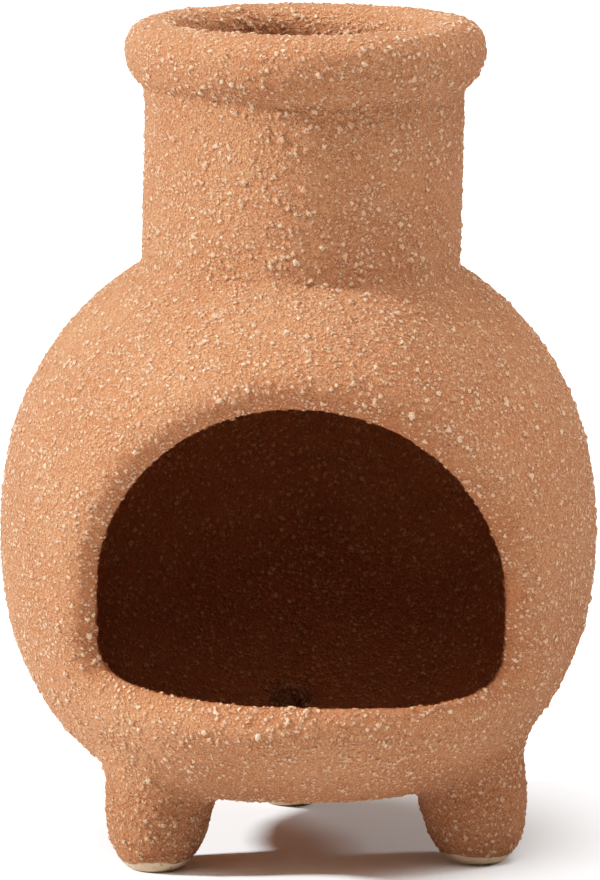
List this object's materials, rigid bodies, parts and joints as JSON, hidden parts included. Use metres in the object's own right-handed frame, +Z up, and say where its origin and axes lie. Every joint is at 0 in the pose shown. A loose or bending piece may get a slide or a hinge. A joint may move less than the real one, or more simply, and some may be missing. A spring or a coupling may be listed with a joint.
{
  "type": "tabletop chiminea",
  "caption": "Small ball-bellied clay chiminea with a wide arched fire mouth, a short neck with a rolled rim, and stubby hollow feet.",
  "frame": {"origin": "on the ground under the middle of the overall width and depth, level with the soles", "axes": "+Z up through the neck, the fire mouth faces -Y, +X to the right as the mouth is looked into"},
  "size_m": [0.107, 0.1002, 0.1499],
  "materials": {
    "coated_clay": "matte, rough with raised pale grog grains",
    "lip_clay": "matte, rough with raised pale grog grains, redder at the edge",
    "foot_clay": "matte and grainy, with smooth bare cream clay on the sole"
  },
  "bodies": {
    "root": {"belly_shell": "coated_clay", "mouth_lip": "lip_clay", "neck": "coated_clay", "rim": "coated_clay", "foot_front_left": "foot_clay", "foot_front_right": "foot_clay", "foot_rear": "foot_clay"}
  },
  "joints": []
}
